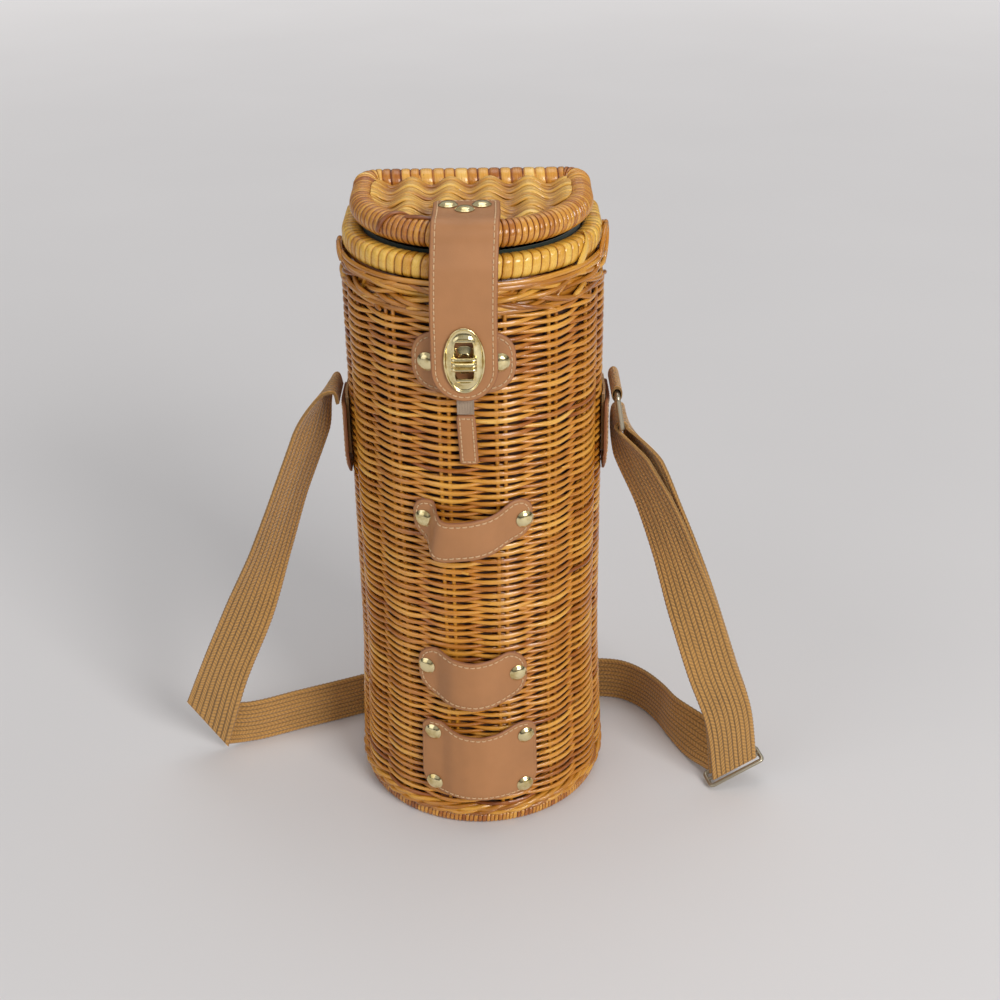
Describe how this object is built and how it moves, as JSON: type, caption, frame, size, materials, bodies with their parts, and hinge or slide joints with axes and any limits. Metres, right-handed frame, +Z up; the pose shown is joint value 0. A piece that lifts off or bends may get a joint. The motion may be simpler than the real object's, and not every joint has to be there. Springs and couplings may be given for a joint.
{
  "type": "wine carrier basket",
  "caption": "Tall wicker carrier for a wine bottle: D-shaped woven basket with a hinged lid, leather closing strap on a turn lock, leather tool loops and pocket, and a webbing shoulder strap.",
  "frame": {"origin": "underside of the base board, on the centre of the round front's arc", "axes": "+Z up, -Y out of the round front where the lock is, +Y out of the flat back, +X to the right seen from the front"},
  "size_m": [0.359, 0.1423, 0.3694],
  "materials": {
    "cane": "glossy golden split cane",
    "pale_cane": "glossy pale flat cane",
    "dark_cane": "satin brown round cane",
    "board": "bare pale board",
    "leather": "smooth tan leather with bevelled darker edges",
    "webbing": "khaki ribbed cotton webbing",
    "lining": "dark green cloth",
    "ribbon": "grey woven ribbon",
    "brass": "polished pale brass",
    "aged_brass": "aged dark brass"
  },
  "bodies": {
    "basket": {"base_board": "board", "foot_rim": "cane", "bottom_waling": "dark_cane", "basket_wall": "cane", "stakes_and_top_border": "dark_cane", "mouth_rim": "pale_cane", "basket_lining": "lining", "lock_leather": "leather", "lock_rivet_left": "brass", "lock_rivet_right": "brass", "lock_base_plate": "brass", "upper_tool_loop": "leather", "upper_tool_loop_rivet_left": "brass", "upper_tool_loop_rivet_right": "brass", "lower_tool_loop": "leather", "lower_tool_loop_rivet_left": "brass", "lower_tool_loop_rivet_right": "brass", "tool_pocket": "leather", "pocket_rivet_lower_left": "brass", "pocket_rivet_lower_right": "brass", "pocket_rivet_upper_left": "brass", "pocket_rivet_upper_right": "brass", "pull_ribbon": "ribbon", "side_leather_left": "leather", "side_leather_right": "leather", "webbing_end_left": "webbing", "webbing_end_right": "webbing"},
    "lid": {"lid_rim": "cane", "lid_panel": "cane", "lid_lining": "lining", "hinge_loop_left": "pale_cane", "hinge_loop_right": "pale_cane", "closure_strap_top": "leather", "closure_rivet_left": "brass", "closure_rivet_right": "brass", "closure_rivet_front": "brass"},
    "closing_strap": {"closure_strap_flap": "leather", "lock_slot_plate": "brass", "lock_slot_back_plate": "brass"},
    "turn_button": {"turn_button": "brass"},
    "pull_tab": {"pull_tab": "leather"},
    "carry_strap": {"strap_left_run": "webbing", "strap_floor_run": "webbing", "strap_right_run": "webbing", "strap_ring": "aged_brass", "ring_webbing_loop": "webbing", "strap_slider": "aged_brass"}
  },
  "joints": [
    {"name": "lid_hinge", "type": "hinge", "parent": "basket", "child": "lid", "pos_m": [0, 0.0315, 0.34205], "axis": [-1, 0, 0], "range_deg": [0, 110]},
    {"name": "closing_strap_bend", "type": "hinge", "parent": "lid", "child": "closing_strap", "pos_m": [-0.004, -0.07293, 0.35668], "axis": [-1, 0, 0], "range_deg": [0, 120]},
    {"name": "turn_button_turn", "type": "hinge", "parent": "basket", "child": "turn_button", "pos_m": [-0.004, -0.083, 0.2975], "axis": [0, -1, 0], "range_deg": [0, 90]},
    {"name": "pull_tab_swing", "type": "hinge", "parent": "basket", "child": "pull_tab", "pos_m": [-0.004, -0.0766, 0.266], "axis": [-1, 0, 0], "range_deg": [0, 80]},
    {"name": "carry_strap_swing", "type": "hinge", "parent": "basket", "child": "carry_strap", "pos_m": [0, 0, 0.25], "axis": [1, 0, 0], "range_deg": [0, 180]}
  ]
}
